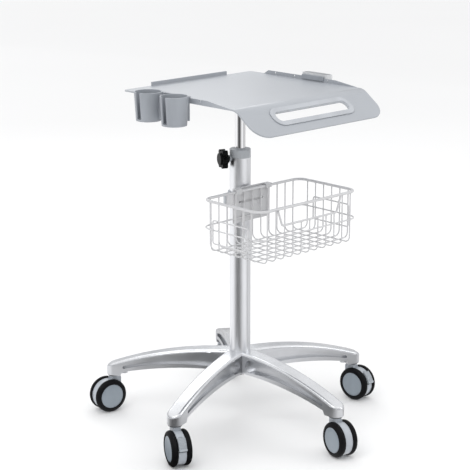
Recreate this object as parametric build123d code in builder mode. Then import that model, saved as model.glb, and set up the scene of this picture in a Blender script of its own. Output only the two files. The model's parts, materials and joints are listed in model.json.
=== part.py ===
from build123d import *
from math import cos, radians, sin
import os

# Height-adjustable lab trolley: a five-arm caster base, a telescopic column with a
# clamp knob, a wire basket on the column and a sheet tray with a down-turned grip wing,
# a double cup holder and a side bin.
# Millimetres, +Z up, floor at z = 0, the wing faces -Y.

# ---- driving dimensions ----
FIT = 0.05            # radial clearance of a running fit
TOUCH = 0.02          # gap between pieces that only touch

WHEEL_D = 75.0
WHEEL_W = 13.5
FORK_W = 17.0         # width of the housing between the wheels
TRAIL = 18.0          # stem axis to wheel axle
NECK_D = 23.5
NECK_TOP = 80.5
SEAL_H = 2.0
SEAL_R = 15.0
STEM_D = 11.0
AXLE_D = 8.0
COVER_D = 54.0        # wheel core with its cover disc

BASE_R = 285.0        # column axis to caster stem
ARMS = 5
FIRST_ARM = -90.0
BASE_FLOOR = 83.0     # underside of the stem sockets
HUB_BOTTOM = 106.0
HUB_TOP = 157.0
HUB_R = 31.0
CASTERS = ("front", "right", "rear", "back_left", "left")
CASTER_TURN = (-104.0, -86.0, -110.0, 169.0, -115.0)    # trailing direction at rest
BRAKED = ("right", "left")

COLUMN_D = 45.0
COLUMN_WALL = 1.8
COLUMN_FOOT = 112.0
COLUMN_TOP = 588.0
COLLAR_TOP = 606.0
MAST_D = 22.0
MAST_WALL = 1.5
MAST_FOOT = 330.0
KNOB_D = 43.0
KNOB_T = 16.0
KNOB_Z = 586.0
KNOB_TURN = 156.0     # direction of the knob's axis about the column
SCREW_D = 8.0

TRAY_TOP = 734.0
SHEET = 3.0
TRAY_HALF = 187.0     # half width along X
TRAY_BACK = 158.0
TRAY_BEND = -178.0
WING_RUN = 65.0
WING_DROP = 47.5
WING_CORNER = 36.0
UPSTAND = 8.0
UPSTAND_HALF = 100.0
UPSTAND_RUN = 60.0     # length of the slope at an upstand's front end
HOLE_Z = 5.0           # height of the upstands' holes above the tray
BACK_UPSTAND_HALF = 110.0
SLOT_L = 212.0
SLOT_W = 30.0
SLOT_R = 13.0
SLOT_AT = 36.0        # distance of the slot's middle from the bend line, down the wing

CUP_X = -221.0
CUP_Y = 39.0
CUP_D = 58.0
CUP_FOOT_D = 51.0
CUP_RIM = 749.0
CUP_H = 59.0
CUP_WALL = 2.6
CUP_SLOT = 11.0

BIN_L = 76.0
BIN_W = 22.0
BIN_Y = -36.0
BIN_RIM = 749.0
BIN_H = 64.0
BIN_WALL = 2.5

BASKET_L = 288.0
BASKET_BACK = -38.0
BASKET_FRONT = -204.0
BASKET_RIM = 525.0
BASKET_FLOOR = 415.0
RIM_R = 3.0
WIRE_R = 1.4
RING_R = 1.6
DROP_R = 2.2
RING_Z = 467.0
DROP_Z = 489.0
CROSS_PITCH = 24.7
CROSS_COUNT = 11
LONG_PITCH = 23.5
LONG_COUNT = 6

LOW = (Align.CENTER, Align.CENTER, Align.MIN)
os.makedirs("parts", exist_ok=True)
pieces = {}


def keep(name, solid):
    """Collect a finished piece under its node name."""
    solid.label = name
    pieces[name] = solid


def arm_angle(index):
    """Direction of one base arm about the column, in degrees."""
    return FIRST_ARM + index * 360.0 / ARMS


def arm_point(index):
    """Plan position of one caster stem."""
    turn = radians(arm_angle(index))
    return BASE_R * cos(turn), BASE_R * sin(turn)


def wire_along(points, radius, bend, closed=False):
    """A round wire swept along a polyline with rounded corners."""
    with BuildPart() as wire:
        with BuildLine() as path:
            FilletPolyline(*points, radius=bend, close=closed)
        with BuildSketch(Plane(origin=path.line @ 0, z_dir=path.line % 0)):
            Circle(radius)
        sweep(path=path.line)
    return wire.part


# ---- five-arm base ----
ARM_RIDGE = ((30, HUB_TOP + 1), (170, 143.5), (290, 109))
ARM_BELLY = ((40, 112), (160, 109), (264, 92))
POCKET_TOP = ((46, 146), (165, 133), (262, 106))
POCKET_FLOOR = ((46, 118), (160, 118), (262, 100))
ARM_WEB = 8.0          # half thickness of the web between the side pockets
ARM_TIP_R = 16.8
CORE_HALF = 4.5        # half width of the hollow under each arm

with BuildPart() as arm:
    with BuildSketch(Plane.XZ):
        with BuildLine():
            Line((0, HUB_BOTTOM + 9), (0, HUB_TOP + 1))
            Line((0, HUB_TOP + 1), ARM_RIDGE[0])
            ThreePointArc(*ARM_RIDGE)
            ThreePointArc(ARM_RIDGE[2], (BASE_R + 13, 105), (BASE_R + 20, 98))
            Line((BASE_R + 20, 98), (BASE_R + 20, BASE_FLOOR))
            Line((BASE_R + 20, BASE_FLOOR), (268, BASE_FLOOR))
            Line((268, BASE_FLOOR), ARM_BELLY[2])
            ThreePointArc(*reversed(ARM_BELLY))
            Line(ARM_BELLY[0], (0, HUB_BOTTOM + 9))
        make_face()
    extrude(amount=30, both=True)
    with BuildSketch(Plane.XY):
        with BuildLine():
            Polyline((0, 21), (60, 19), (BASE_R, ARM_TIP_R), (BASE_R, -ARM_TIP_R), (60, -19), (0, -21), close=True)
        make_face()
        with Locations((BASE_R, 0)):
            Circle(ARM_TIP_R)
    extrude(amount=200, mode=Mode.INTERSECT)
    crest = arm.faces().filter_by(GeomType.CYLINDER).sort_by(Axis.Z)[-1]
    fillet([edge for edge in crest.edges() if edge.length > 100], radius=6)
    for side in (1, -1):
        with BuildSketch(Plane.XZ.offset(side * ARM_WEB)):
            with BuildLine():
                ThreePointArc(*POCKET_TOP)
                Line(POCKET_TOP[2], POCKET_FLOOR[2])
                ThreePointArc(*reversed(POCKET_FLOOR))
                ThreePointArc(POCKET_FLOOR[0], (37, 132), POCKET_TOP[0])
            make_face()
        extrude(amount=side * 30, mode=Mode.SUBTRACT)
    with BuildSketch(Plane.XZ):
        with BuildLine():
            ThreePointArc(*POCKET_TOP)
            Polyline(POCKET_TOP[2], (262, 80), (46, 80), POCKET_TOP[0])
        make_face()
    extrude(amount=CORE_HALF, both=True, mode=Mode.SUBTRACT)
    with Locations((262, 0, 86)):
        Cylinder(radius=7, height=14, align=LOW)

with BuildPart() as star_base:
    with PolarLocations(0, ARMS, start_angle=FIRST_ARM):
        add(arm.part)
    with Locations((0, 0, HUB_BOTTOM)):
        Cone(HUB_R - 9, HUB_R, 9, align=LOW)
    with Locations((0, 0, HUB_BOTTOM + 9)):
        Cylinder(radius=HUB_R, height=HUB_TOP - HUB_BOTTOM - 9, align=LOW)
    with Locations((0, 0, COLUMN_FOOT)):
        Cylinder(radius=COLUMN_D / 2 + FIT, height=100, align=LOW, mode=Mode.SUBTRACT)
    with Locations((0, 0, HUB_BOTTOM)):
        Cylinder(radius=3.3, height=20, align=LOW, mode=Mode.SUBTRACT)
    with PolarLocations(BASE_R, ARMS, start_angle=FIRST_ARM):
        with Locations((0, 0, BASE_FLOOR)):
            Cylinder(radius=STEM_D / 2 + TOUCH, height=22, align=LOW, mode=Mode.SUBTRACT)
keep("star_base", star_base.part)

with BuildPart() as base_washer:
    with Locations((0, 0, HUB_BOTTOM - 3)):
        Cylinder(radius=16, height=3 - TOUCH, align=LOW)
        Cylinder(radius=3.3, height=3, align=LOW, mode=Mode.SUBTRACT)
keep("base_washer", base_washer.part)

with BuildPart() as base_screw:
    with Locations((0, 0, HUB_BOTTOM - 9 - TOUCH)):
        Cylinder(radius=5, height=6 - TOUCH, align=LOW)
        Cylinder(radius=3, height=40, align=LOW)
    chamfer(base_screw.edges().group_by(Axis.Z)[0], 0.8)
    with BuildSketch(Plane.XY.offset(HUB_BOTTOM - 9 - TOUCH)):
        RegularPolygon(radius=2.9, side_count=6)
    extrude(amount=3, mode=Mode.SUBTRACT)
keep("base_screw", base_screw.part)

# ---- column ----
KNOB_AXIS = Plane(
    origin=(0, 0, KNOB_Z),
    x_dir=(-sin(radians(KNOB_TURN)), cos(radians(KNOB_TURN)), 0),
    z_dir=(cos(radians(KNOB_TURN)), sin(radians(KNOB_TURN)), 0),
)
BOSS_R = 7.0

with BuildPart() as column_tube:
    with Locations((0, 0, COLUMN_FOOT + TOUCH)):
        Cylinder(radius=COLUMN_D / 2, height=COLUMN_TOP - COLUMN_FOOT, align=LOW)
        Cylinder(radius=COLUMN_D / 2 - COLUMN_WALL, height=COLUMN_TOP, align=LOW, mode=Mode.SUBTRACT)
    with BuildSketch(KNOB_AXIS):
        Circle(BOSS_R + 0.2)
        with Locations((0, 20)):
            Rectangle(2 * BOSS_R + 0.4, 40)
    extrude(amount=40, mode=Mode.SUBTRACT)
keep("column_tube", column_tube.part)

with BuildPart() as column_plug:
    with Locations((0, 0, COLUMN_FOOT + TOUCH)):
        Cylinder(radius=COLUMN_D / 2 - COLUMN_WALL - TOUCH, height=22, align=LOW)
        Cylinder(radius=3 + TOUCH, height=30, align=LOW, mode=Mode.SUBTRACT)
keep("column_plug", column_plug.part)

with BuildPart() as column_collar:
    with Locations((0, 0, COLUMN_TOP + 2 * TOUCH)):
        Cylinder(radius=COLUMN_D / 2, height=COLLAR_TOP - COLUMN_TOP, align=LOW)
    fillet(column_collar.edges().group_by(Axis.Z)[-1], 1.2)
    with Locations((0, 0, COLUMN_TOP - 40)):
        Cylinder(radius=COLUMN_D / 2 - COLUMN_WALL - TOUCH, height=41, align=LOW)
    with BuildSketch(KNOB_AXIS):
        Circle(BOSS_R)
    extrude(amount=COLUMN_D / 2 + 3)
    with Locations((0, 0, COLUMN_TOP - 40)):
        Cylinder(radius=MAST_D / 2 + FIT, height=80, align=LOW, mode=Mode.SUBTRACT)
    with BuildSketch(KNOB_AXIS):
        Circle(SCREW_D / 2 + FIT)
    extrude(amount=60, mode=Mode.SUBTRACT)
keep("column_collar", column_collar.part)

KNOB_NEAR = 32.0       # column axis to the knob's inner face
with BuildPart() as clamp_knob:
    with BuildSketch(KNOB_AXIS.offset(KNOB_NEAR)):
        Circle(KNOB_D / 2 - 5)
        with PolarLocations(KNOB_D / 2 - 6, 6):
            Circle(6)
    extrude(amount=KNOB_T - 4)
    with BuildSketch(KNOB_AXIS.offset(KNOB_NEAR + KNOB_T - 4)):
        Circle(KNOB_D / 2 - 8)
    extrude(amount=4, taper=12)
    with BuildSketch(KNOB_AXIS.offset(COLUMN_D / 2 + 4)):
        Circle(8)
    extrude(amount=KNOB_NEAR - COLUMN_D / 2 - 4)
    with BuildSketch(KNOB_AXIS.offset(20)):
        Circle(SCREW_D / 2 + TOUCH)
    extrude(amount=24, mode=Mode.SUBTRACT)
keep("clamp_knob", clamp_knob.part)

with BuildPart() as clamp_screw:
    with BuildSketch(KNOB_AXIS.offset(MAST_D / 2 + 0.3)):
        Circle(SCREW_D / 2)
    extrude(amount=44 - MAST_D / 2 - 0.4)
keep("clamp_screw", clamp_screw.part)

# ---- mast ----
SOCKET_FLOOR = 696.0
with BuildPart() as mast_tube:
    with Locations((0, 0, MAST_FOOT)):
        Cylinder(radius=MAST_D / 2, height=TRAY_TOP - SHEET - 5 - MAST_FOOT, align=LOW)
        Cylinder(radius=MAST_D / 2 - MAST_WALL, height=TRAY_TOP, align=LOW, mode=Mode.SUBTRACT)
keep("mast_tube", mast_tube.part)

with BuildPart() as mast_glide:
    with Locations((0, 0, MAST_FOOT - 4)):
        Cylinder(radius=COLUMN_D / 2 - COLUMN_WALL - 0.1, height=26, align=LOW)
    chamfer(mast_glide.edges().group_by(Axis.Z)[0], 1.5)
    with Locations((0, 0, MAST_FOOT - TOUCH)):
        Cylinder(radius=MAST_D / 2 + TOUCH, height=40, align=LOW, mode=Mode.SUBTRACT)
keep("mast_glide", mast_glide.part)

# ---- tray ----
FLANGE_R = 46.0
STUD_R = 34.0
with BuildPart() as tray_socket:
    with Locations((0, 0, SOCKET_FLOOR)):
        Cylinder(radius=17, height=TRAY_TOP - SHEET - SOCKET_FLOOR - TOUCH, align=LOW)
    with Locations((0, 0, TRAY_TOP - SHEET - 4)):
        Cylinder(radius=FLANGE_R, height=4 - TOUCH, align=LOW)
    with Locations((0, 0, SOCKET_FLOOR)):
        Cylinder(radius=MAST_D / 2 + FIT, height=TRAY_TOP - SHEET - 4.9 - SOCKET_FLOOR, align=LOW, mode=Mode.SUBTRACT)
    with PolarLocations(STUD_R, 4, start_angle=45):
        with Locations((0, 0, TRAY_TOP - SHEET - 4)):
            Cylinder(radius=2.8, height=8, align=LOW, mode=Mode.SUBTRACT)
keep("tray_socket", tray_socket.part)

NUT_TOP = TRAY_TOP - SHEET - 4 - TOUCH
with BuildPart() as tray_nuts:
    with BuildSketch(Plane.XY.offset(NUT_TOP - 4)):
        with PolarLocations(STUD_R, 4, start_angle=45):
            RegularPolygon(radius=4.6, side_count=6)
            Circle(2.5 + TOUCH, mode=Mode.SUBTRACT)
    extrude(amount=4)
keep("tray_nuts", tray_nuts.part)

WING_LENGTH = (WING_RUN**2 + WING_DROP**2) ** 0.5
WING_DOWN = Vector(0, -WING_RUN / WING_LENGTH, -WING_DROP / WING_LENGTH)
WING_OUT = Vector(0, -WING_DROP / WING_LENGTH, WING_RUN / WING_LENGTH)
SHEET_MID = TRAY_TOP - SHEET / 2
SLOT_PLANE = Plane(
    origin=Vector(0, TRAY_BEND, SHEET_MID) + WING_DOWN * SLOT_AT,
    x_dir=(1, 0, 0),
    z_dir=WING_OUT,
)

with BuildPart() as tray_top:
    with BuildSketch(Plane.YZ):
        with BuildLine():
            FilletPolyline(
                (TRAY_BACK, SHEET_MID),
                (TRAY_BEND, SHEET_MID),
                (TRAY_BEND - WING_RUN, SHEET_MID - WING_DROP),
                radius=34,
            )
        trace(line_width=SHEET)
    extrude(amount=TRAY_HALF, both=True)
    rear_corners = tray_top.edges().filter_by(Axis.Z).sort_by(Axis.Y)[-2:]
    fillet(rear_corners, radius=8)
    wing_corners = tray_top.edges().filter_by(Axis((0, 0, 0), WING_OUT)).sort_by(Axis.Y)[:2]
    fillet(wing_corners, radius=WING_CORNER)
    for side in (1, -1):
        with BuildSketch(Plane.YZ.offset(side * (TRAY_HALF - 1.25))):
            with BuildLine():
                Polyline(
                    (-UPSTAND_HALF - UPSTAND_RUN, TRAY_TOP - 1),
                    (-UPSTAND_HALF - UPSTAND_RUN, TRAY_TOP + 0.5),
                    (-UPSTAND_HALF, TRAY_TOP + UPSTAND),
                    (UPSTAND_HALF, TRAY_TOP + UPSTAND),
                    (UPSTAND_HALF + 12, TRAY_TOP + 0.5),
                    (UPSTAND_HALF + 12, TRAY_TOP - 1),
                    close=True,
                )
            make_face()
        extrude(amount=1.25, both=True)
    with Locations((0, TRAY_BACK - 1.25, TRAY_TOP - 1)):
        Box(2 * BACK_UPSTAND_HALF, 2.5, UPSTAND + 1, align=LOW)
    with BuildSketch(Plane.YZ.offset(-TRAY_HALF - 5)):
        with Locations(*[(y, TRAY_TOP + HOLE_Z) for y in (-78, -20, 20, 78)]):
            Circle(2.2)
    extrude(amount=2 * TRAY_HALF + 10, mode=Mode.SUBTRACT)
    with BuildSketch(SLOT_PLANE.offset(-10)):
        RectangleRounded(SLOT_L, SLOT_W, SLOT_R)
    extrude(amount=20, mode=Mode.SUBTRACT)
    with PolarLocations(STUD_R, 4, start_angle=45):
        with Locations((0, 0, TRAY_TOP - SHEET - 11)):
            Cylinder(radius=2.5, height=12, align=LOW)
keep("tray_top", tray_top.part)

TRIM_FLANGE = 9.0
with BuildPart() as grip_trim:
    with BuildSketch(SLOT_PLANE.offset(-SHEET / 2 - 2)):
        RectangleRounded(SLOT_L + 2 * TRIM_FLANGE, SLOT_W + 2 * TRIM_FLANGE, SLOT_R + TRIM_FLANGE)
    extrude(amount=SHEET + 4.4)
    with BuildSketch(SLOT_PLANE.offset(-SHEET / 2 - TOUCH)):
        RectangleRounded(SLOT_L + 40, SLOT_W + 40, SLOT_R + 20)
        RectangleRounded(SLOT_L - 0.2, SLOT_W - 0.2, SLOT_R - 0.1, mode=Mode.SUBTRACT)
    extrude(amount=SHEET + 2 * TOUCH, mode=Mode.SUBTRACT)
    with BuildSketch(SLOT_PLANE.offset(-20)):
        RectangleRounded(SLOT_L - 5, SLOT_W - 5, SLOT_R - 2.5)
    extrude(amount=40, mode=Mode.SUBTRACT)
keep("grip_trim", grip_trim.part)

# ---- accessories that hook over the tray's upstands ----
HOOK_TOP = TRAY_TOP + UPSTAND + 3
SPINE_X = TRAY_HALF + 0.3     # face of a holder's spine that lies on an upstand

with BuildPart() as cup_holder:
    for side in (1, -1):
        with Locations((CUP_X, side * CUP_Y, CUP_RIM - CUP_H)):
            Cone(CUP_FOOT_D / 2, CUP_D / 2, CUP_H, align=LOW)
    with BuildSketch(Plane.XY.offset(CUP_RIM - CUP_H + 6)):
        with Locations((-SPINE_X - 1.5, 0)):
            Rectangle(3, 2 * CUP_Y + 18)
        with Locations((CUP_X + 6, 0)):
            Rectangle(3, 2 * CUP_Y - 40)
        for side in (1, -1):
            with Locations((CUP_X + 18, side * (CUP_Y - 16))):
                Rectangle(27, 3)
            with Locations((CUP_X + 22, side * (CUP_Y + 7))):
                Rectangle(20, 3)
    extrude(amount=HOOK_TOP - CUP_RIM + CUP_H - 6)
    with BuildSketch(Plane.XZ):
        with BuildLine():
            Polyline(
                (-SPINE_X - 3, HOOK_TOP - 12),
                (-SPINE_X - 3, HOOK_TOP),
                (-TRAY_HALF + 2.4, HOOK_TOP),
                (-TRAY_HALF + 2.4, HOOK_TOP - 2.6),
                (-SPINE_X, HOOK_TOP - 2.6),
                (-SPINE_X, HOOK_TOP - 12),
                close=True,
            )
        make_face()
    extrude(amount=CUP_Y + 9, both=True)
    for side in (1, -1):
        with Locations((CUP_X, side * CUP_Y, CUP_RIM - CUP_H + CUP_WALL)):
            Cone(CUP_FOOT_D / 2 - CUP_WALL, CUP_D / 2 - CUP_WALL, CUP_H, align=LOW, mode=Mode.SUBTRACT)
        with Locations((CUP_X - CUP_D / 2, side * CUP_Y, CUP_RIM - CUP_H + 4)):
            Box(CUP_D / 2, CUP_SLOT, CUP_H, align=LOW, mode=Mode.SUBTRACT)
    with BuildSketch(Plane.YZ.offset(-SPINE_X - 5)):
        with Locations((-20, TRAY_TOP + HOLE_Z), (20, TRAY_TOP + HOLE_Z)):
            Circle(2.2)
    extrude(amount=10, mode=Mode.SUBTRACT)
    rims = cup_holder.edges().filter_by(GeomType.CIRCLE).group_by(Axis.Z)[-1]
    fillet(rims, radius=0.8)
keep("cup_holder", cup_holder.part)

BIN_NEAR = SPINE_X
CLIP_L = 62.0
CLIP_TOP = TRAY_TOP + 12
CLIP_T = 2.5
with BuildPart() as side_bin:
    with BuildSketch(Plane.XY.offset(BIN_RIM - BIN_H)):
        with Locations((BIN_NEAR + BIN_W / 2, BIN_Y)):
            RectangleRounded(BIN_W, BIN_L, 7)
    extrude(amount=BIN_H)
    fillet(side_bin.edges().group_by(Axis.Z)[0], radius=3)
    with BuildSketch(Plane.XY.offset(BIN_RIM - BIN_H + BIN_WALL)):
        with Locations((BIN_NEAR + BIN_W / 2, BIN_Y)):
            RectangleRounded(BIN_W - 2 * BIN_WALL, BIN_L - 2 * BIN_WALL, 5)
    extrude(amount=BIN_H, mode=Mode.SUBTRACT)
    with Locations((BIN_NEAR, BIN_Y, CLIP_TOP - CLIP_T / 2)):
        Box(2 * BIN_WALL + 2, CLIP_L + 0.4, CLIP_T + 0.2, mode=Mode.SUBTRACT)
keep("side_bin", side_bin.part)

# spring clip that joins the bin to the upstand
CLIP_FACE = TRAY_HALF - 2.5 - 0.1
with BuildPart() as bin_clip:
    with BuildSketch(Plane.XZ.offset(-BIN_Y)):
        with BuildLine():
            Polyline(
                (CLIP_FACE, TRAY_TOP + 2.3),
                (CLIP_FACE - CLIP_T, TRAY_TOP + 2.3),
                (CLIP_FACE - CLIP_T, CLIP_TOP),
                (BIN_NEAR + BIN_WALL + 0.1 + CLIP_T, CLIP_TOP),
                (BIN_NEAR + BIN_WALL + 0.1 + CLIP_T, TRAY_TOP + 2.3),
                (BIN_NEAR + BIN_WALL + 0.1, TRAY_TOP + 2.3),
                (BIN_NEAR + BIN_WALL + 0.1, CLIP_TOP - CLIP_T),
                (CLIP_FACE, CLIP_TOP - CLIP_T),
                close=True,
            )
        make_face()
    extrude(amount=CLIP_L / 2, both=True)
    fillet(bin_clip.edges().filter_by(Axis.X).group_by(Axis.Z)[-1], 2.2)
keep("bin_clip", bin_clip.part)


def holder_screws(face_x, outward, along):
    """Pan head screws through an upstand, heads on the tray side."""
    with BuildPart() as screws:
        for y in along:
            start = Plane(origin=(face_x, y, TRAY_TOP + HOLE_Z), z_dir=(outward, 0, 0))
            with BuildSketch(start):
                Circle(2.7)
            extrude(amount=-1.6)
            with BuildSketch(start.offset(-TOUCH)):
                Circle(2)
            extrude(amount=5.6)
    return screws.part


keep("cup_holder_screws", holder_screws(-TRAY_HALF + 2.5 + TOUCH, -1, (-20, 20)))

# ---- wire basket ----
half_l = BASKET_L / 2
mid_y = (BASKET_BACK + BASKET_FRONT) / 2
LEG_TOP = BASKET_RIM - RIM_R + TOUCH
DROP_TOP_HALF = 93.0
DROP_FOOT_HALF = 81.0
DROP_LEGS = 3          # legs each side of the middle that stop under the dropped wire


def ring_points(grow, z):
    """Corners of a level ring outside the basket's rim line."""
    x = half_l + grow
    return [
        (x, BASKET_BACK + grow, z),
        (-x, BASKET_BACK + grow, z),
        (-x, BASKET_FRONT - grow, z),
        (x, BASKET_FRONT - grow, z),
    ]


with BuildPart() as rim_part:
    with BuildLine() as rim_path:
        FilletPolyline(*ring_points(0, BASKET_RIM), radius=22, close=True)
    with BuildSketch(Plane(origin=rim_path.line @ 0, z_dir=rim_path.line % 0)):
        Circle(RIM_R)
    sweep(path=rim_path.wire())
keep("basket_rim", rim_part.part)

with BuildPart() as mid_ring:
    with BuildLine() as ring_path:
        FilletPolyline(*ring_points(WIRE_R + RING_R + TOUCH, RING_Z), radius=25, close=True)
    with BuildSketch(Plane(origin=ring_path.line @ 0, z_dir=ring_path.line % 0)):
        Circle(RING_R)
    sweep(path=ring_path.wire())
keep("basket_mid_ring", mid_ring.part)

# the cross wires lie under the long ones and are welded to them
with BuildPart() as wires:
    for i in range(CROSS_COUNT):
        step = i - (CROSS_COUNT - 1) // 2
        x = step * CROSS_PITCH
        top = DROP_Z - DROP_R + TOUCH if abs(step) <= DROP_LEGS else LEG_TOP
        floor = BASKET_FLOOR + WIRE_R
        back = [(x, BASKET_BACK, LEG_TOP), (x, BASKET_BACK, floor)]
        add(wire_along(back + [(x, BASKET_FRONT, floor), (x, BASKET_FRONT, top)], WIRE_R, 12))
    for i in range(LONG_COUNT):
        y = mid_y + (i - (LONG_COUNT - 1) / 2) * LONG_PITCH
        floor = BASKET_FLOOR + 3 * WIRE_R + TOUCH
        left = [(-half_l, y, LEG_TOP), (-half_l, y, floor)]
        add(wire_along(left + [(half_l, y, floor), (half_l, y, LEG_TOP)], WIRE_R, 12))
keep("basket_wires", wires.part)

drop_points = [
    (-DROP_TOP_HALF, BASKET_FRONT, LEG_TOP - 0.6),
    (-DROP_FOOT_HALF, BASKET_FRONT, DROP_Z),
    (DROP_FOOT_HALF, BASKET_FRONT, DROP_Z),
    (DROP_TOP_HALF, BASKET_FRONT, LEG_TOP - 0.6),
]
keep("basket_front_drop", wire_along(drop_points, DROP_R, 6))

LOOP_R = 1.5
LOOP_X = half_l + WIRE_R + 2 * RING_R + LOOP_R + 2 * TOUCH
LOOP_BACK = -74.0
LOOP_FRONT = -176.0
LOOP_TOP = 489.0
LOOP_FOOT = 440.0
with BuildPart() as side_loops:
    for side in (1, -1):
        x = side * LOOP_X
        corners = [(x, LOOP_BACK, LOOP_TOP), (x, LOOP_FRONT, LOOP_TOP), (x, LOOP_FRONT, LOOP_FOOT), (x, LOOP_BACK, LOOP_FOOT)]
        add(wire_along(corners, LOOP_R, 5, closed=True))
keep("basket_side_loops", side_loops.part)

# bracket between basket and column
BRACKET_FACE = BASKET_BACK + WIRE_R + 2 * RING_R + 2 * TOUCH
BRACKET_T = 3.0
CLAMP_Z = 486.0
CLAMP_H = 28.0
CLAMP_R = COLUMN_D / 2 + 4
SCREW_X = 33.0
CLAMP_GAP = 1.0
with BuildPart() as basket_bracket:
    with Locations((0, BRACKET_FACE + BRACKET_T / 2, 456)):
        Box(104, BRACKET_T, BASKET_RIM + RIM_R + 3 - 456, align=LOW)
    with BuildSketch(Plane.YZ.offset(-52)):
        with BuildLine():
            hook_back = BRACKET_FACE + BRACKET_T
            hook_top = BASKET_RIM + RIM_R + 3
            hook_front = BASKET_BACK - RIM_R - 2.6
            Polyline(
                (hook_back, hook_top),
                (hook_back, hook_top - 2.8),
                (hook_front + 2.4, hook_top - 2.8),
                (hook_front + 2.4, hook_top - 10),
                (hook_front, hook_top - 10),
                (hook_front, hook_top),
                close=True,
            )
        make_face()
    extrude(amount=16)
    mirror(about=Plane.YZ)
    with BuildSketch(Plane.XY.offset(CLAMP_Z)):
        with Locations((0, -CLAMP_GAP)):
            Circle(CLAMP_R)
        with Locations((0, -12)):
            Rectangle(2 * SCREW_X + 18, 24)
        with Locations((0, BRACKET_FACE / 2 - 10)):
            Rectangle(44, -20 - BRACKET_FACE)
        with Locations((0, 50)):
            Rectangle(200, 100 + 2 * CLAMP_GAP, mode=Mode.SUBTRACT)
        with Locations((0, BRACKET_FACE - 100)):
            Rectangle(200, 200, mode=Mode.SUBTRACT)
    extrude(amount=CLAMP_H)
    with Locations((0, 0, CLAMP_Z)):
        Cylinder(radius=COLUMN_D / 2 + TOUCH, height=100, align=LOW, mode=Mode.SUBTRACT)
    with BuildSketch(Plane.XZ.offset(-20)):
        with Locations((-SCREW_X, CLAMP_Z + CLAMP_H / 2), (SCREW_X, CLAMP_Z + CLAMP_H / 2)):
            Circle(2.5 + TOUCH)
    extrude(amount=60, mode=Mode.SUBTRACT)
keep("basket_bracket", basket_bracket.part)

with BuildPart() as basket_clamp:
    with BuildSketch(Plane.XY.offset(CLAMP_Z)):
        Circle(CLAMP_R)
        with Locations((0, 4)):
            Rectangle(2 * SCREW_X + 18, 8)
        Circle(COLUMN_D / 2 + TOUCH, mode=Mode.SUBTRACT)
        with Locations((0, -50)):
            Rectangle(200, 100 + 2 * CLAMP_GAP, mode=Mode.SUBTRACT)
    extrude(amount=CLAMP_H)
    with BuildSketch(Plane.XZ.offset(-20)):
        with Locations((-SCREW_X, CLAMP_Z + CLAMP_H / 2), (SCREW_X, CLAMP_Z + CLAMP_H / 2)):
            Circle(2.5 + TOUCH)
    extrude(amount=60, mode=Mode.SUBTRACT)
keep("basket_clamp", basket_clamp.part)

with BuildPart() as clamp_screws:
    for side in (1, -1):
        start = Plane(origin=(side * SCREW_X, 8 + TOUCH, CLAMP_Z + CLAMP_H / 2), z_dir=(0, 1, 0))
        with BuildSketch(start):
            Circle(4.2)
        extrude(amount=4.5)
        with BuildSketch(start.offset(4.5)):
            RegularPolygon(radius=2.3, side_count=6)
        extrude(amount=-2.5, mode=Mode.SUBTRACT)
        with BuildSketch(start):
            Circle(2.5)
        extrude(amount=-30)
keep("basket_clamp_screws", clamp_screws.part)

# ---- casters ----
AXLE_Z = WHEEL_D / 2
HOUSING_R = 34.5
PEDAL_RECESS_R = 30.5
HALF_W = FORK_W / 2 + 0.5 + WHEEL_W
STEM_LOW = 58.0
PIVOT_X = 17.0         # brake pedal pivot, from the axle
PIVOT_Z = 26.2
PIN_R = 1.3
KNUCKLE_R = 2.8
KNUCKLE_HALF = 4.0
PEDAL_IN = HOUSING_R + 0.3
PEDAL_OUT = PEDAL_IN + 4
PEDAL_LOW = 14.0       # angles of the pad's ends above the axle
PEDAL_HIGH = 52.0

with BuildPart() as stem:
    with Locations((0, 0, STEM_LOW)):
        Cylinder(radius=STEM_D / 2, height=BASE_FLOOR + 20 - STEM_LOW, align=LOW)
    chamfer(stem.edges().group_by(Axis.Z)[-1], 1.2)

with BuildPart() as seal:
    with Locations((0, 0, NECK_TOP + TOUCH)):
        Cylinder(radius=SEAL_R, height=SEAL_H, align=LOW)
        Cylinder(radius=STEM_D / 2 + TOUCH, height=SEAL_H + 1, align=LOW, mode=Mode.SUBTRACT)
    fillet(seal.edges().filter_by(GeomType.CIRCLE).sort_by(SortBy.RADIUS)[-2:], 0.7)

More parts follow.
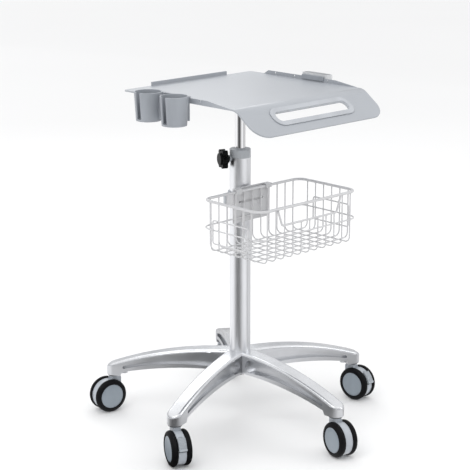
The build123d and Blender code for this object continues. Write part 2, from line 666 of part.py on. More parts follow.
# the trailing side is +X; the stem stands at x = 0 and the axle at x = TRAIL
def make_housing(braked):
    with BuildPart() as housing:
        with BuildSketch(Plane.XZ):
            with Locations((TRAIL, AXLE_Z)):
                Circle(HOUSING_R)
            with Locations((0, 64)):
                Rectangle(NECK_D, 24)
            with Locations((TRAIL, -46)):
                Rectangle(100, 100, mode=Mode.SUBTRACT)
        extrude(amount=FORK_W / 2, both=True)
        with BuildSketch(Plane.XY.offset(76)):
            Circle(NECK_D / 2)
        extrude(amount=NECK_TOP - 76)
        if braked:
            with BuildSketch(Plane.XZ):
                with BuildLine():
                    Polyline((TRAIL, AXLE_Z), (TRAIL + 50, AXLE_Z + 4), (TRAIL + 33, AXLE_Z + 48), close=True)
                make_face()
                with Locations((TRAIL, AXLE_Z)):
                    Circle(PEDAL_RECESS_R, mode=Mode.SUBTRACT)
            extrude(amount=FORK_W, both=True, mode=Mode.SUBTRACT)
            with BuildSketch(Plane.XZ):
                with Locations((TRAIL + PIVOT_X, AXLE_Z + PIVOT_Z)):
                    Circle(KNUCKLE_R + 0.4)
                with Locations((TRAIL + PIVOT_X + 4, AXLE_Z + PIVOT_Z + 1)):
                    Rectangle(8, 2 * KNUCKLE_R + 2)
            extrude(amount=KNUCKLE_HALF + 0.3, both=True, mode=Mode.SUBTRACT)
            with BuildSketch(Plane.XZ):
                with Locations((TRAIL + PIVOT_X, AXLE_Z + PIVOT_Z)):
                    Circle(PIN_R + FIT)
            extrude(amount=FORK_W, both=True, mode=Mode.SUBTRACT)
        with Locations((0, 0, STEM_LOW - 1)):
            Cylinder(radius=STEM_D / 2 + FIT, height=40, align=LOW, mode=Mode.SUBTRACT)
        with BuildSketch(Plane.XZ):
            with Locations((TRAIL, AXLE_Z)):
                Circle(AXLE_D / 2 + TOUCH)
        extrude(amount=FORK_W, both=True, mode=Mode.SUBTRACT)
    return housing.part


with BuildPart() as axle:
    with BuildSketch(Plane.XZ):
        with Locations((TRAIL, AXLE_Z)):
            Circle(AXLE_D / 2)
    extrude(amount=FORK_W / 2 + 10.5, both=True)

WHEEL_IN = FORK_W / 2 + 0.5
with BuildPart() as wheel:
    with BuildSketch(Plane.YZ):
        with BuildLine():
            Line((WHEEL_IN, 0), (WHEEL_IN, COVER_D / 2))
            Line((WHEEL_IN, COVER_D / 2), (WHEEL_IN + WHEEL_W - 2, COVER_D / 2))
            Spline(
                (WHEEL_IN + WHEEL_W - 2, COVER_D / 2),
                (WHEEL_IN + WHEEL_W - 0.4, 12),
                (WHEEL_IN + WHEEL_W, 0),
                tangents=((0.5, -1), (0, -1)),
            )
            Line((WHEEL_IN + WHEEL_W, 0), (WHEEL_IN, 0))
        make_face()
    revolve(axis=Axis.Y)
    with BuildSketch(Plane.XZ.offset(-WHEEL_IN - 10.6)):
        Circle(AXLE_D / 2 + FIT)
    extrude(amount=20, mode=Mode.SUBTRACT)

with BuildPart() as tyre:
    with BuildSketch(Plane.YZ):
        with BuildLine():
            Polyline(
                (WHEEL_IN + WHEEL_W - 1.5, COVER_D / 2 + TOUCH),
                (WHEEL_IN, COVER_D / 2 + TOUCH),
                (WHEEL_IN, WHEEL_D / 2 - 2),
            )
            ThreePointArc(
                (WHEEL_IN, WHEEL_D / 2 - 2),
                (WHEEL_IN + 5, WHEEL_D / 2),
                (WHEEL_IN + WHEEL_W - 1.6, WHEEL_D / 2 - 4.5),
            )
            Line(
                (WHEEL_IN + WHEEL_W - 1.6, WHEEL_D / 2 - 4.5),
                (WHEEL_IN + WHEEL_W - 0.3, COVER_D / 2 + 2),
            )
            Line(
                (WHEEL_IN + WHEEL_W - 0.3, COVER_D / 2 + 2),
                (WHEEL_IN + WHEEL_W - 1.5, COVER_D / 2 + TOUCH),
            )
        make_face()
    revolve(axis=Axis.Y)


def spoke(angle, length):
    """Point at a distance from the axle, at an angle above the floor."""
    return length * cos(radians(angle)), length * sin(radians(angle))


with BuildPart() as pedal:
    with BuildSketch(Plane.XZ):
        Circle(PEDAL_OUT)
        Circle(PEDAL_IN, mode=Mode.SUBTRACT)
        with BuildSketch(Plane.XY, mode=Mode.INTERSECT):
            with BuildLine():
                Polyline((0, 0), spoke(PEDAL_LOW, 80), spoke(PEDAL_HIGH, 80), close=True)
            make_face()
    extrude(amount=FORK_W / 2 - 0.3, both=True)
    with BuildSketch(Plane.XZ):
        with Locations(spoke(PEDAL_LOW - 1, PEDAL_IN + 3)):
            RectangleRounded(6, 5, 2)
    extrude(amount=FORK_W / 2 - 0.3, both=True)
    with BuildSketch(Plane.XZ):
        with BuildLine():
            Polyline(
                (PIVOT_X - 0.5, PIVOT_Z + 2),
                (PIVOT_X, PIVOT_Z - 2),
                spoke(PEDAL_HIGH - 6, PEDAL_IN + 0.5),
                spoke(PEDAL_HIGH - 2, PEDAL_OUT - 0.5),
                close=True,
            )
        make_face()
        with Locations((PIVOT_X, PIVOT_Z)):
            Circle(KNUCKLE_R)
    extrude(amount=KNUCKLE_HALF, both=True)
    with BuildSketch(Plane.XZ):
        with Locations((PIVOT_X, PIVOT_Z)):
            Circle(PIN_R)
    extrude(amount=FORK_W / 2 - 0.2, both=True)

for index, where in enumerate(CASTERS):
    x, y = arm_point(index)
    place = Location((x, y, 0), (0, 0, CASTER_TURN[index]))
    hub = place * Location((TRAIL, 0, AXLE_Z))
    braked = where in BRAKED
    keep(f"caster_{where}_housing", make_housing(braked).moved(place))
    keep(f"caster_{where}_axle", axle.part.moved(place))
    for side, flip in (("a", 0), ("b", 180)):
        turned = hub * Location((0, 0, 0), (0, 0, flip))
        keep(f"caster_{where}_wheel_{side}", wheel.part.moved(turned))
        keep(f"caster_{where}_tyre_{side}", tyre.part.moved(turned))
    if braked:
        keep(f"caster_{where}_pedal", pedal.part.moved(hub))

with BuildPart() as caster_stems:
    with PolarLocations(BASE_R, ARMS, start_angle=FIRST_ARM):
        add(stem.part)
keep("caster_stems", caster_stems.part)

with BuildPart() as caster_seals:
    with PolarLocations(BASE_R, ARMS, start_angle=FIRST_ARM):
        add(seal.part)
keep("caster_seals", caster_seals.part)

# ---- one frame for all pieces: the floor under the middle of the whole ----
boxes = [solid.bounding_box() for solid in pieces.values()]
middle_x = (min(box.min.X for box in boxes) + max(box.max.X for box in boxes)) / 2
middle_y = (min(box.min.Y for box in boxes) + max(box.max.Y for box in boxes)) / 2
print("column axis at", round(-middle_x, 3), round(-middle_y, 3))
for name, solid in pieces.items():
    placed = Pos(-middle_x, -middle_y, 0) * solid
    placed.label = name
    export_step(placed, f"parts/{name}.step")
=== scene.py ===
import json
import math

import bpy
from bpy.props import FloatProperty, FloatVectorProperty, IntProperty, PointerProperty
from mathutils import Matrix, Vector


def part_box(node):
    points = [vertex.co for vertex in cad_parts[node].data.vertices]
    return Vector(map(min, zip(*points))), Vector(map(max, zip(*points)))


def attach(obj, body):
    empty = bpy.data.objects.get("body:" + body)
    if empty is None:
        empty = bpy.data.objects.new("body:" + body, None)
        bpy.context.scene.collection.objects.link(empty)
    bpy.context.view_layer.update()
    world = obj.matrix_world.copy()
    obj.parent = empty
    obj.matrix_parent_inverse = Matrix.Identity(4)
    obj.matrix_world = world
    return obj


bl_info = {
    "name": "Lab Trolley",
    "version": (1, 0, 0),
    "blender": (4, 5, 0),
    "location": "View3D > Sidebar > Lab Trolley",
    "description": "Finishes and fine pieces of a height-adjustable lab trolley",
    "category": "Object",
}

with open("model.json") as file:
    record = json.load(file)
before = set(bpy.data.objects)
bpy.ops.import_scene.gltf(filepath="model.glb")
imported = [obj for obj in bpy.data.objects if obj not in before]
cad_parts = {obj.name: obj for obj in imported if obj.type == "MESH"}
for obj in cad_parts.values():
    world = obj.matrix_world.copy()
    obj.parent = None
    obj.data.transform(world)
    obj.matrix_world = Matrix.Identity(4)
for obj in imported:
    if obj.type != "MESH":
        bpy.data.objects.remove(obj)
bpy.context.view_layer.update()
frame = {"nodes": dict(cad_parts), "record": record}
NODES = frame["nodes"]
SLOT_OF = {part["node"]: part["material_slot"] for part in frame["record"]["subparts"]}
COLUMN_LOW, COLUMN_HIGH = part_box("column_tube")
COLUMN_AXIS = (COLUMN_LOW + COLUMN_HIGH) / 2
BRAKED = ("right", "left")

# basket: wires counted outwards from the middle one, and their radius
CROSS_WIRES = 5
WIRES_UNDER_DROP = 3
LONG_WIRES = 6
WIRE_R = 0.0014
BEAD_SINK = 0.0003

# brake pedal: arc of its ribs about the wheels' axle
RIB_ARC_R = 0.0388
RIB_WIDTH = 0.0158
RIB_START = math.radians(15.5)
RIB_SWEEP = math.radians(35.0)

# studio, in metres
FLOOR_REACH = 30.0
CARD_R = 9.0
CARD_HEIGHT = 0.0015
CARD_SIDES = 72
CAMERA_OFFSET = (-2.187, -2.241, 1.249)
CAMERA_TURN = (math.radians(75.1), 0.0, math.radians(-44.1))
LIGHT_AIM = Vector((0.0, 0.0, 0.45))
# brightness around the column that metal reflects, from one turn's start to its end
SECTORS = (
    (0.002, 0.26),
    (0.028, 0.10),
    (0.117, 0.10),
    (0.175, 0.60),
    (0.225, 1.00),
    (0.333, 1.00),
    (0.358, 0.34),
    (0.378, 0.34),
    (0.417, 0.85),
    (0.620, 0.40),
    (0.760, 1.12),
    (0.915, 1.12),
    (0.975, 0.50),
    (0.998, 0.28),
)
# brightness of the surroundings by height, from the horizon to overhead
SKY = (
    (0.03, (1.1, 1.1, 1.1, 1.0)),
    (0.16, (0.55, 0.56, 0.58, 1.0)),
    (0.75, (1.26, 1.26, 1.26, 1.0)),
)


# ---- sizes and colours ----

def length(name, text, value):
    """A size in metres that a user can change."""
    return FloatProperty(
        name=name, description=text, default=value, min=0.0, precision=5, unit="LENGTH"
    )


def power(name, text, value):
    """A light's power in watts that a user can change."""
    return FloatProperty(name=name, description=text, default=value, min=0.0, unit="POWER")


def tint(name, text, value):
    """A colour that a user can change."""
    return FloatVectorProperty(
        name=name, description=text, default=value, size=3, min=0.0, max=1.0, subtype="COLOR"
    )


class TrolleyColours(bpy.types.PropertyGroup):
    """Colours of the trolley's pieces"""

    tray: tint("Tray", "Powder coat of the tray", (0.36, 0.38, 0.41))
    trim: tint("Grip trim", "Moulded ring in the grip slot", (0.43, 0.45, 0.48))
    cups: tint("Cup holder", "Moulded cup holder", (0.31, 0.33, 0.36))
    bin: tint("Side bin", "Moulded side bin", (0.60, 0.61, 0.62))
    basket: tint("Basket", "Coating of the wires", (0.60, 0.60, 0.61))
    casting: tint("Casting", "Polished cast aluminium", (0.66, 0.67, 0.69))
    column: tint("Column", "Drawn aluminium tube", (0.84, 0.85, 0.87))
    chrome: tint("Mast", "Chrome plate", (0.84, 0.84, 0.85))
    collar: tint("Collar", "Moulded collar of the column", (0.42, 0.44, 0.46))
    black: tint("Black parts", "Knob, washer and seals", (0.004, 0.004, 0.004))
    housing: tint("Caster housing", "Moulded housing between the wheels", (0.42, 0.45, 0.49))
    cover: tint("Wheel cover", "Moulded disc in each wheel", (0.25, 0.29, 0.33))
    pedal: tint("Brake pedal", "Moulded pedal", (0.36, 0.39, 0.42))
    tyre: tint("Tyre", "Soft tread", (0.004, 0.004, 0.005))


class TrolleySizes(bpy.types.PropertyGroup):
    """Sizes of the trolley's fine pieces"""

    edge: length("Edge rounding", "Radius on the sharp edges of moulded pieces", 0.0006)
    bead: length("Weld bead", "Radius of a spot weld on the basket", 0.0019)
    rib: length("Pedal rib", "Radius of one rib on a brake pedal", 0.0009)
    ribs: IntProperty(
        name="Ribs", description="Ribs across each brake pedal", default=8, min=2, max=20
    )
    cross_pitch: length("Cross wires", "Distance between the cross wires", 0.0247)
    long_pitch: length("Long wires", "Distance between the long wires", 0.0235)


class TrolleyStudio(bpy.types.PropertyGroup):
    """Light and camera"""

    sky: FloatProperty(
        name="Sky", description="Strength of the surrounding light", default=1.0, min=0.0
    )
    key: power("Key light", "Power of the large soft light", 16.0)
    side: power("Side light", "Power of the tall side light", 8.0)
    lens: FloatProperty(name="Lens", description="Focal length in millimetres", default=115.3, min=1.0)


# ---- shader graphs ----

class Reading:
    """A socket of a finish, on which Python's operators add Math nodes."""

    def __init__(self, finish, socket):
        self.finish = finish
        self.socket = socket

    def out(self, name):
        """Another output of the same node."""
        return Reading(self.finish, self.socket.node.outputs[name])

    def maths(self, operation, *terms):
        return self.finish.node("ShaderNodeMath", {"operation": operation}, dict(enumerate(terms)))

    def __add__(self, other):
        return self.maths("ADD", self, other)

    def __rsub__(self, other):
        return self.maths("SUBTRACT", other, self)

    def __mul__(self, other):
        return self.maths("MULTIPLY", self, other)

    __radd__ = __add__
    __rmul__ = __mul__

    def between(self, low, high):
        """0 below low, 1 above high, smooth between them."""
        return self.finish.node(
            "ShaderNodeMapRange",
            {"interpolation_type": "SMOOTHSTEP"},
            {"Value": self, "From Min": low, "From Max": high},
        )


class Finish:
    """One material of the trolley and the nodes it is made of."""

    def __init__(self, name):
        self.material = bpy.data.materials.new(name)
        self.material.use_nodes = True
        self.tree = self.material.node_tree
        self.tree.nodes.clear()
        self.place = self.node("ShaderNodeTexCoord").out("Object")

    def node(self, kind, settings=None, inputs=None):
        """Adds a node: its type, its settings, then the values or links of its sockets."""
        made = self.tree.nodes.new(kind)
        for name, value in (settings or {}).items():
            setattr(made, name, value)
        for name, value in (inputs or {}).items():
            if isinstance(value, Reading):
                self.tree.links.new(value.socket, made.inputs[name])
            elif made.inputs[name].type == "RGBA":
                made.inputs[name].default_value = (*value[:3], 1.0)
            else:
                made.inputs[name].default_value = value
        return Reading(self, made.outputs[0]) if made.outputs else None

    def noise(self, scale, detail=2.0, stretch=None, rough=0.5):
        """Soft random values of about 1 / scale metres, longer where stretch is under 1."""
        place = self.place
        if stretch:
            place = self.node("ShaderNodeMapping", inputs={"Vector": place, "Scale": stretch})
        values = {"Vector": place, "Scale": scale, "Detail": detail, "Roughness": rough}
        return self.node("ShaderNodeTexNoise", inputs=values)

    def shade(self, amount, colour, other):
        """The first colour where amount is 0, the other where it is 1."""
        values = {0: amount, 6: colour, 7: other}
        return self.node("ShaderNodeMix", {"data_type": "RGBA"}, values).out(2)

    def relief(self, height, strength, depth):
        """A normal from a height, depth being the height's size in metres."""
        values = {"Height": height, "Strength": strength, "Distance": depth}
        return self.node("ShaderNodeBump", inputs=values)

    def surface(self, **sockets):
        """The shader itself. Returns the finished material."""
        words = {name.replace("_", " ").title(): value for name, value in sockets.items()}
        words = {name.replace("Ior", "IOR"): value for name, value in words.items()}
        shader = self.node("ShaderNodeBsdfPrincipled", inputs=words)
        self.node("ShaderNodeOutputMaterial", inputs={"Surface": shader})
        return self.material


def scaled(colour, factor):
    """The same colour, lighter or darker."""
    return tuple(min(1.0, part * factor) for part in colour[:3])


def set_stops(ramp, stops):
    """Replaces the two stops of a new colour ramp, all of them lying between those two."""
    elements = ramp.color_ramp.elements
    for place, colour in stops:
        elements.new(place).color = colour
    elements.remove(elements[-1])
    elements.remove(elements[0])


def cast_aluminium(name, colour):
    """Polished casting: mirror-like on the ridges, grainier in the pockets that face sideways."""
    finish = Finish(name)
    normal = finish.node("ShaderNodeNewGeometry").out("Normal")
    upward = finish.node("ShaderNodeSeparateXYZ", inputs={0: normal}).out("Z")
    pocket = 1.0 - upward.between(-0.1, 0.45)
    cloud = finish.noise(22.0, 3.0)
    grain = finish.noise(900.0, 2.0)
    rough = 0.17 + 0.10 * cloud + 0.12 * pocket + 0.05 * grain
    tone = finish.shade(cloud.between(0.25, 0.8), scaled(colour, 0.93), scaled(colour, 1.04))
    height = finish.noise(70.0, 2.0) * 0.35 + grain * 0.12
    normal = finish.relief(height, 0.16, 0.0016)
    return finish.surface(base_color=tone, metallic=1.0, roughness=rough, normal=normal)


def drawn_aluminium(name, colour):
    """Satin tube with fine lines along its length."""
    finish = Finish(name)
    lines = finish.noise(1500.0, 3.0, (1.0, 1.0, 0.012))
    cloud = finish.noise(14.0, 3.0)
    tone = finish.shade(lines.between(0.3, 0.7), scaled(colour, 0.95), scaled(colour, 1.03))
    rough = 0.27 + 0.08 * lines + 0.07 * cloud
    normal = finish.relief(lines, 0.10, 0.0003)
    return finish.surface(base_color=tone, metallic=1.0, roughness=rough, normal=normal)


def chrome_plate(name, colour):
    """Plated tube, with faint rub marks along the travel."""
    finish = Finish(name)
    rub = finish.noise(800.0, 3.0, (1.0, 1.0, 0.01))
    cloud = finish.noise(30.0, 2.0)
    rough = 0.05 + 0.06 * rub.between(0.55, 0.8) + 0.03 * cloud
    tone = finish.shade(cloud, scaled(colour, 0.97), colour)
    normal = finish.relief(rub, 0.03, 0.0002)
    return finish.surface(base_color=tone, metallic=1.0, roughness=rough, normal=normal)


def zinc_plate(name, colour):
    """Small plated steel pieces."""
    finish = Finish(name)
    cells = finish.node("ShaderNodeTexVoronoi", inputs={"Vector": finish.place, "Scale": 700.0})
    spangle = cells.out("Color")
    spread = finish.node("ShaderNodeSeparateXYZ", inputs={0: spangle})
    tone = finish.shade(spread, scaled(colour, 0.88), scaled(colour, 1.08))
    rough = 0.30 + 0.12 * finish.noise(400.0)
    return finish.surface(base_color=tone, metallic=1.0, roughness=rough)


def powder_coat(name, colour, rough, peel=0.10, peel_scale=650.0):
    """Baked coat with a faint orange peel and finger-soft changes of gloss."""
    finish = Finish(name)
    peel_height = finish.noise(peel_scale, 2.0)
    cloud = finish.noise(9.0, 4.0)
    speck = finish.noise(2600.0, 1.0)
    tone = finish.shade(cloud.between(0.3, 0.75), scaled(colour, 0.965), scaled(colour, 1.02))
    tone = finish.shade(speck.between(0.62, 0.72) * 0.25, tone, scaled(colour, 0.85))
    gloss = rough - 0.04 + 0.09 * cloud + 0.03 * speck
    normal = finish.relief(peel_height, peel, 0.0004)
    return finish.surface(
        base_color=tone, roughness=gloss, normal=normal, coat_weight=0.25, coat_roughness=0.18
    )


def moulded_plastic(name, colour, rough, spark=550.0, depth=0.00025, sheen=0.0, gleam=0.5):
    """Moulded piece with a fine spark-eroded texture and faint flow marks."""
    finish = Finish(name)
    texture = finish.noise(spark * 3.0, 2.0)
    flow = finish.noise(26.0, 3.0, (1.0, 1.0, 0.35))
    tone = finish.shade(flow.between(0.3, 0.7), scaled(colour, 0.94), scaled(colour, 1.05))
    gloss = rough - 0.05 + 0.08 * flow + 0.06 * texture
    height = texture * 0.7 + finish.noise(spark) * 0.5
    normal = finish.relief(height, 0.18, depth)
    return finish.surface(
        base_color=tone,
        roughness=gloss,
        normal=normal,
        specular_ior_level=gleam,
        coat_weight=sheen,
        coat_roughness=0.15,
    )


def soft_tread(name, colour):
    """Black tread with a little dust where it has rolled."""
    finish = Finish(name)
    dust = finish.noise(180.0, 4.0, rough=0.7).between(0.52, 0.78) * 0.35
    tone = finish.shade(dust, colour, (0.03, 0.03, 0.029))
    rough = 0.42 + 0.20 * finish.noise(60.0, 3.0)
    normal = finish.relief(finish.noise(1400.0, 2.0), 0.20, 0.0003)
    return finish.surface(base_color=tone, roughness=rough, normal=normal, specular_ior_level=0.1)


# ---- geometry graphs ----

class Graph:
    """A Geometry Nodes tree with named inputs."""

    def __init__(self, name, numbers):
        self.tree = bpy.data.node_groups.new(name, "GeometryNodeTree")
        self.tree.interface.new_socket("Geometry", in_out="INPUT", socket_type="NodeSocketGeometry")
        self.tree.interface.new_socket("Material", in_out="INPUT", socket_type="NodeSocketMaterial")
        for label, kind in numbers.items():
            self.tree.interface.new_socket(label, in_out="INPUT", socket_type=kind)
        self.tree.interface.new_socket("Geometry", in_out="OUTPUT", socket_type="NodeSocketGeometry")
        self.given = self.tree.nodes.new("NodeGroupInput")

    def node(self, kind, settings=None, inputs=None):
        """Adds a node and returns it."""
        made = self.tree.nodes.new(kind)
        for name, value in (settings or {}).items():
            setattr(made, name, value)
        for name, value in (inputs or {}).items():
            if isinstance(value, bpy.types.NodeSocket):
                self.tree.links.new(value, made.inputs[name])
            else:
                made.inputs[name].default_value = value
        return made

    def end(self, geometry):
        """Real geometry, shaded smooth, with the material given to the tree."""
        real = self.node("GeometryNodeRealizeInstances", inputs={0: geometry})
        smooth = self.node("GeometryNodeSetShadeSmooth", inputs={0: real.outputs[0]})
        wears = {0: smooth.outputs[0], "Material": self.given.outputs["Material"]}
        done = self.node("GeometryNodeSetMaterial", inputs=wears)
        self.node("NodeGroupOutput", inputs={0: done.outputs[0]})
        return self.tree


def grown(name, tree, points, material, values):
    """Runs a tree on a set of points and keeps the result as a plain mesh object."""
    seed = bpy.data.meshes.new(name + "_points")
    seed.from_pydata([tuple(point) for point in points], [], [])
    maker = bpy.data.objects.new(name + "_maker", seed)
    bpy.context.scene.collection.objects.link(maker)
    growth = maker.modifiers.new("Growth", "NODES")
    growth.node_group = tree
    ids = {
        item.name: item.identifier
        for item in tree.interface.items_tree
        if item.item_type == "SOCKET" and item.in_out == "INPUT"
    }
    growth[ids["Material"]] = material
    for label, value in values.items():
        growth[ids[label]] = value
    maker.update_tag()
    graph = bpy.context.evaluated_depsgraph_get()
    mesh = bpy.data.meshes.new_from_object(maker.evaluated_get(graph))
    mesh.name = name
    bpy.data.objects.remove(maker)
    piece = bpy.data.objects.new(name, mesh)
    bpy.context.scene.collection.objects.link(piece)
    if not mesh.materials:
        mesh.materials.append(material)
    return piece


def bead_tree():
    """One small rounded weld on every point."""
    graph = Graph("Weld beads", {"Bead Radius": "NodeSocketFloat"})
    radius = graph.given.outputs["Bead Radius"]
    bead = graph.node("GeometryNodeMeshIcoSphere", inputs={"Radius": radius, "Subdivisions": 2})
    spread = graph.node(
        "FunctionNodeRandomValue", {"data_type": "FLOAT"}, {2: 0.85, 3: 1.12, "Seed": 7}
    )
    scattered = graph.node(
        "GeometryNodeInstanceOnPoints",
        inputs={
            "Points": graph.given.outputs["Geometry"],
            "Instance": bead.outputs["Mesh"],
            "Scale": spread.outputs[1],
        },
    )
    return graph.end(scattered.outputs[0])


def rib_tree():
    """Bars across an arc in the XZ plane, then turned about Z and set in place."""
    numbers = {
        "Arc Radius": "NodeSocketFloat",
        "Start Angle": "NodeSocketFloat",
        "Sweep Angle": "NodeSocketFloat",
        "Ribs": "NodeSocketInt",
        "Rib Radius": "NodeSocketFloat",
        "Rib Width": "NodeSocketFloat",
        "Turn": "NodeSocketVector",
        "Place": "NodeSocketVector",
    }
    graph = Graph("Pedal ribs", numbers)
    given = graph.given.outputs
    arc = graph.node(
        "GeometryNodeCurveArc",
        inputs={
            "Resolution": 64,
            "Radius": given["Arc Radius"],
            "Start Angle": given["Start Angle"],
            "Sweep Angle": given["Sweep Angle"],
        },
    )
    points = graph.node(
        "GeometryNodeCurveToPoints",
        {"mode": "COUNT"},
        {"Curve": arc.outputs["Curve"], "Count": given["Ribs"]},
    )
    bar = graph.node(
        "GeometryNodeMeshCylinder",
        inputs={"Vertices": 14, "Radius": given["Rib Radius"], "Depth": given["Rib Width"]},
    )
    rows = graph.node(
        "GeometryNodeInstanceOnPoints",
        inputs={"Points": points.outputs["Points"], "Instance": bar.outputs["Mesh"]},
    )
    upright = graph.node(
        "GeometryNodeTransform",
        inputs={"Geometry": rows.outputs[0], "Rotation": (math.pi / 2, 0.0, 0.0)},
    )
    placed = graph.node(
        "GeometryNodeTransform",
        inputs={
            "Geometry": upright.outputs[0],
            "Rotation": given["Turn"],
            "Translation": given["Place"],
        },
    )
    return graph.end(placed.outputs[0])


# ---- dressing of the frame's own pieces ----

def dress(slot, material):
    """Gives a material to every piece of one slot."""
    for node, own in SLOT_OF.items():
        if own == slot:
            NODES[node].data.materials.clear()
            NODES[node].data.materials.append(material)


def soften(node, radius):
    """Rounds the sharp edges of a piece, after welding its loose triangles together."""
    piece = NODES[node]
    joined = piece.modifiers.new("Join", "WELD")
    joined.merge_threshold = 1e-6
    edge = piece.modifiers.new("Edge", "BEVEL")
    edge.width = radius
    edge.segments = 2
    edge.limit_method = "ANGLE"
    edge.angle_limit = math.radians(35.0)
    edge.harden_normals = False
    edge.use_clamp_overlap = True


def middle(node):
    """Middle of a piece's box."""
    low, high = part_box(node)
    return (low + high) / 2


def trailing(place):
    """Direction from a caster's stem to its axle, and the axle's middle."""
    axle = middle(f"caster_{place}_axle")
    across = middle(f"caster_{place}_wheel_a") - middle(f"caster_{place}_wheel_b")
    forward = Vector((across.y, -across.x, 0.0)).normalized()
    return forward, axle


# ---- operators ----

class PaintMetal(bpy.types.Operator):
    """Base, column, mast and their fixings get their metal finishes"""

    bl_idname = "trolley.paint_metal"
    bl_label = "Metal parts"

    def execute(self, context):
        colours = context.scene.trolley_colours
        dress("cast_base", cast_aluminium("cast_base", colours.casting))
        dress("column_metal", drawn_aluminium("column_metal", colours.column))
        dress("mast_chrome", chrome_plate("mast_chrome", colours.chrome))
        dress("steel_fixing", zinc_plate("steel_fixing", scaled(colours.chrome, 0.75)))
        dress("socket_metal", powder_coat("socket_metal", scaled(colours.tray, 0.8), 0.4))
        dress("black_plate", powder_coat("black_plate", colours.black, 0.45))
        return {"FINISHED"}


class PaintTray(bpy.types.Operator):
    """Tray, grip trim, cup holder, side bin and clip get their finishes"""

    bl_idname = "trolley.paint_tray"
    bl_label = "Tray and holders"

    def execute(self, context):
        colours = context.scene.trolley_colours
        dress("tray_paint", powder_coat("tray_paint", colours.tray, 0.30))
        dress("trim_plastic", moulded_plastic("trim_plastic", colours.trim, 0.22))
        dress("cup_plastic", moulded_plastic("cup_plastic", colours.cups, 0.42))
        dress("bin_plastic", moulded_plastic("bin_plastic", colours.bin, 0.30, sheen=0.3))
        # Painted shade: the clip is a real part, but it takes the cup holder's dark grey to stand in
        # for the shaded face under the bin's hook.
        dress("clip_plastic", moulded_plastic("clip_plastic", colours.cups, 0.36))
        return {"FINISHED"}


class PaintBasket(bpy.types.Operator):
    """Basket, bracket and clamp get their finishes"""

    bl_idname = "trolley.paint_basket"
    bl_label = "Basket"

    def execute(self, context):
        colours = context.scene.trolley_colours
        dress("basket_coat", powder_coat("basket_coat", colours.basket, 0.28, 0.12, 900.0))
        dress("bracket_paint", powder_coat("bracket_paint", scaled(colours.basket, 0.95), 0.30))
        dress("clamp_plastic", moulded_plastic("clamp_plastic", scaled(colours.collar, 1.2), 0.42))
        return {"FINISHED"}


class PaintPlastic(bpy.types.Operator):
    """Collar, knob and hidden guides get their finishes"""

    bl_idname = "trolley.paint_plastic"
    bl_label = "Collar and knob"

    def execute(self, context):
        colours = context.scene.trolley_colours
        dress("collar_plastic", moulded_plastic("collar_plastic", colours.collar, 0.38))
        dress("knob_plastic", moulded_plastic("knob_plastic", colours.black, 0.30, 700.0, gleam=0.08))
        dress("inner_plastic", moulded_plastic("inner_plastic", colours.black, 0.5))
        return {"FINISHED"}


class PaintCasters(bpy.types.Operator):
    """Housings, wheel covers, tyres, pedals and seals get their finishes"""

    bl_idname = "trolley.paint_casters"
    bl_label = "Casters"

    def execute(self, context):
        colours = context.scene.trolley_colours
        dress("housing_plastic", moulded_plastic("housing_plastic", colours.housing, 0.34, sheen=0.2))
        dress("cover_plastic", moulded_plastic("cover_plastic", colours.cover, 0.32, sheen=0.25))
        dress("tyre_rubber", soft_tread("tyre_rubber", colours.tyre))
        dress("seal_rubber", soft_tread("seal_rubber", colours.black))
        dress("pedal_plastic", moulded_plastic("pedal_plastic", colours.pedal, 0.36))
        return {"FINISHED"}


class RoundEdges(bpy.types.Operator):
    """Sharp edges of the pressed, moulded and turned pieces are eased"""

    bl_idname = "trolley.round_edges"
    bl_label = "Rounded edges"

    def execute(self, context):
        radius = context.scene.trolley_sizes.edge
        soften("grip_trim", radius * 1.8)
        for node in ("tray_top", "cup_holder", "side_bin", "clamp_knob", "column_collar"):
            soften(node, radius)
        for node in ("basket_bracket", "basket_clamp", "tray_socket", "bin_clip"):
            soften(node, radius)
        for node in NODES:
            if node.endswith(("_housing", "_pedal")):
                soften(node, radius * 0.8)
        return {"FINISHED"}


class WeldBeads(bpy.types.Operator):
    """Spot welds where the basket's wires meet its rim, ring and dropped wire"""

    bl_idname = "trolley.weld_beads"
    bl_label = "Weld beads"

    def execute(self, context):
        sizes = context.scene.trolley_sizes
        low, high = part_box("basket_wires")
        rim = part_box("basket_rim")[0].z
        ring = middle("basket_mid_ring").z
        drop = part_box("basket_front_drop")[0].z
        mid = (low + high) / 2
        points = []
        for step in range(-CROSS_WIRES, CROSS_WIRES + 1):
            x = mid.x + step * sizes.cross_pitch
            top = drop if abs(step) <= WIRES_UNDER_DROP else rim
            front, back = low.y + WIRE_R, high.y - WIRE_R
            points += [(x, front, top), (x, back, rim)]
            points += [(x, low.y, ring), (x, high.y, ring)]
            points += [(x, front, top - BEAD_SINK), (x, back, rim - BEAD_SINK)]
        for step in range(LONG_WIRES):
            y = mid.y + (step - (LONG_WIRES - 1) / 2) * sizes.long_pitch
            for x, side in ((low.x, 1), (high.x, -1)):
                points += [(x + side * WIRE_R, y, rim), (x, y, ring)]
        tree = bead_tree()
        material = NODES["basket_rim"].data.materials[0]
        beads = grown("basket_welds", tree, points, material, {"Bead Radius": sizes.bead})
        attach(beads, "base")
        return {"FINISHED"}


class PedalRibs(bpy.types.Operator):
    """Grip ribs across each brake pedal"""

    bl_idname = "trolley.pedal_ribs"
    bl_label = "Pedal ribs"

    def execute(self, context):
        sizes = context.scene.trolley_sizes
        tree = rib_tree()
        material = NODES["caster_left_pedal"].data.materials[0]
        for place in BRAKED:
            forward, axle = trailing(place)
            values = {
                "Arc Radius": RIB_ARC_R,
                "Start Angle": RIB_START,
                "Sweep Angle": RIB_SWEEP,
                "Ribs": sizes.ribs,
                "Rib Radius": sizes.rib,
                "Rib Width": RIB_WIDTH,
                "Turn": (0.0, 0.0, math.atan2(forward.y, forward.x)),
                "Place": tuple(axle),
            }
            ribs = grown(f"pedal_ribs_{place}", tree, [(0, 0, 0)], material, values)
            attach(ribs, f"pedal_{place}")
        return {"FINISHED"}


